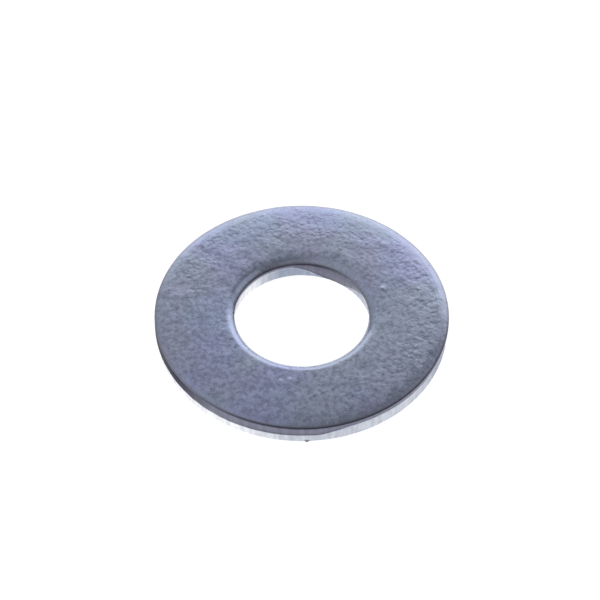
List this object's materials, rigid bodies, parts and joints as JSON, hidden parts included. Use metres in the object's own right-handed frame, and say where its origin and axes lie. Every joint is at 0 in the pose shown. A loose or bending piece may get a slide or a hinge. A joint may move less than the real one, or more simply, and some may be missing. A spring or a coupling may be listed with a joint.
{
  "type": "flat washer",
  "caption": "Plain round flat washer in zinc-plated steel, with pressed-edge walls and a clearance hole for a 6 mm bolt; it spreads a bolt's load.",
  "frame": {"origin": "centre of the bolt hole, on the bottom face, which is the side that the press tore and the side it lies on", "axes": "+Z along the hole's axis, from the bottom face to the top face with the rolled corners; X and Y lie in the bottom face, and any pair will do because the washer is round"},
  "size_m": [0.014, 0.014, 0.0012],
  "materials": {
    "zinc_plate": "bright zinc plate, finely mottled and satin"
  },
  "bodies": {
    "root": {"washer": "zinc_plate"}
  },
  "joints": []
}
